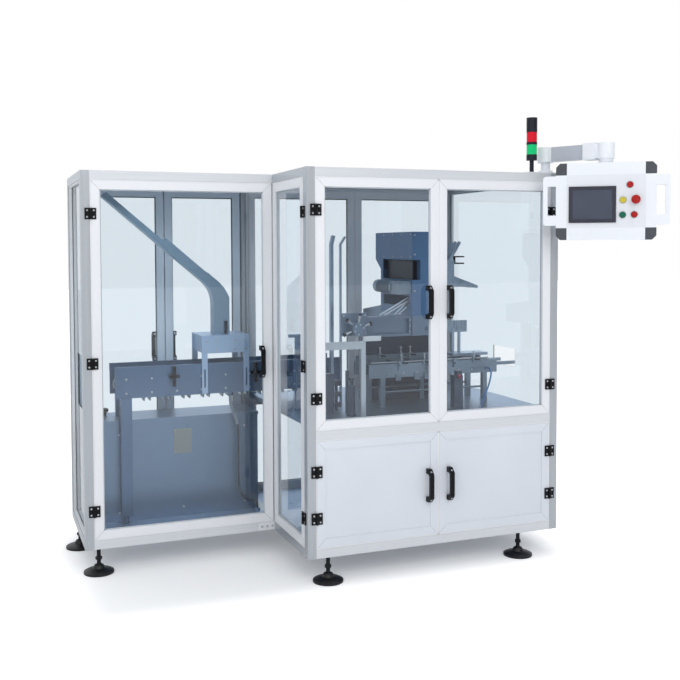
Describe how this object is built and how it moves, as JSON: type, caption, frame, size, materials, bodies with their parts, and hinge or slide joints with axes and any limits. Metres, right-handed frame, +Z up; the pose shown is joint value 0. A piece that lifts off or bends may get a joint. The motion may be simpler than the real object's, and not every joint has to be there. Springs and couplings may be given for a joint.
{
  "type": "automatic cartoner",
  "caption": "Guarded automatic cartoner in two bays: product infeed conveyor, carton magazine and track behind clear doors, on levelling feet, with a swivelling control box.",
  "frame": {"origin": "floor under the middle of the whole machine's plan box", "axes": "+X along the product flow to the discharge side, +Y to the rear, +Z up"},
  "size_m": [2.5086, 1.5298, 2.06],
  "materials": {
    "profile_aluminium": "satin anodised",
    "black_plastic": "moulded",
    "door_aluminium": "satin anodised",
    "clear_sheet": "clear tinted",
    "white_paint": "satin powder coat",
    "stainless": "brushed",
    "dark_steel": "satin",
    "motor_aluminium": "cast",
    "blue_tube": "extruded",
    "black_gloss": "glossy",
    "lens_red": "translucent lens",
    "lens_green": "translucent lens",
    "corner_grey": "moulded",
    "panel_aluminium": "brushed",
    "button_red": "glossy",
    "button_yellow": "glossy",
    "button_green": "glossy",
    "white_plastic": "moulded"
  },
  "bodies": {
    "machine": {"frame_posts": "profile_aluminium", "frame_rails_x": "profile_aluminium", "frame_rails_y": "profile_aluminium", "levelling_feet": "black_plastic", "fixed_door_frames": "door_aluminium", "fixed_door_panes": "clear_sheet", "fixed_door_fittings": "black_plastic", "hinge_leaves": "black_plastic", "left_side_pane": "clear_sheet", "right_side_pane": "clear_sheet", "right_lower_panel": "white_paint", "roof_panels": "white_paint", "table_plate": "stainless", "floor_pans": "stainless", "base_cabinet": "stainless", "conveyor_frame": "stainless", "conveyor_chain": "dark_steel", "feed_chute": "stainless", "feed_head": "stainless", "clamps": "black_plastic", "signal_conduit": "black_plastic", "magazine_tower": "dark_steel", "magazine_drive": "motor_aluminium", "magazine_rods": "stainless", "tower_columns": "stainless", "magazine_guides": "stainless", "carton_track": "stainless", "carton_chain": "dark_steel", "carton_press": "stainless", "outfeed_guides": "stainless", "air_tube": "blue_tube", "tube_stand": "profile_aluminium", "table_posts": "dark_steel", "drive_housing": "dark_steel", "arm_bracket": "white_paint", "lamp_body": "black_gloss", "lamp_red": "lens_red", "lamp_green": "lens_green"},
    "infeed_door": {"infeed_door_frame": "door_aluminium", "infeed_door_pane": "clear_sheet", "infeed_door_fittings": "black_plastic"},
    "cabinet_door_left": {"cabinet_door_left": "white_paint", "cabinet_door_left_fittings": "black_plastic"},
    "cabinet_door_right": {"cabinet_door_right": "white_paint", "cabinet_door_right_fittings": "black_plastic"},
    "rear_door_left": {"rear_door_left_frame": "door_aluminium", "rear_door_left_pane": "clear_sheet", "rear_door_left_fittings": "black_plastic"},
    "rear_door_right": {"rear_door_right_frame": "door_aluminium", "rear_door_right_pane": "clear_sheet", "rear_door_right_fittings": "black_plastic"},
    "control_arm": {"control_arm": "white_paint"},
    "control_box": {"control_box": "white_paint", "control_corners": "corner_grey", "control_panel": "panel_aluminium", "control_screen": "black_gloss", "buttons_red": "button_red", "button_yellow": "button_yellow", "button_green": "button_green", "control_grips": "white_plastic"}
  },
  "joints": [
    {"name": "infeed_door_swing", "type": "hinge", "parent": "machine", "child": "infeed_door", "pos_m": [-1.16348, 0.12098, 0.155], "axis": [0, 0, -1], "range_deg": [0, 110]},
    {"name": "cabinet_door_left_swing", "type": "hinge", "parent": "machine", "child": "cabinet_door_left", "pos_m": [-0.28348, -0.35902, 0.155], "axis": [0, 0, -1], "range_deg": [0, 110]},
    {"name": "cabinet_door_right_swing", "type": "hinge", "parent": "machine", "child": "cabinet_door_right", "pos_m": [0.89152, -0.35902, 0.155], "axis": [0, 0, 1], "range_deg": [0, 110]},
    {"name": "rear_door_left_swing", "type": "hinge", "parent": "machine", "child": "rear_door_left", "pos_m": [-1.16348, 0.72498, 0.155], "axis": [0, 0, 1], "range_deg": [0, 110]},
    {"name": "rear_door_right_swing", "type": "hinge", "parent": "machine", "child": "rear_door_right", "pos_m": [-0.32848, 0.72498, 0.155], "axis": [0, 0, -1], "range_deg": [0, 110]},
    {"name": "control_arm_swivel", "type": "hinge", "parent": "machine", "child": "control_arm", "pos_m": [0.90902, -0.28202, 1.854], "axis": [0, 0, 1], "range_deg": [0, 60]},
    {"name": "control_box_swivel", "type": "hinge", "parent": "control_arm", "child": "control_box", "pos_m": [1.0484, -0.55556, 1.833], "axis": [0, 0, 1], "range_deg": [0, 60]}
  ]
}
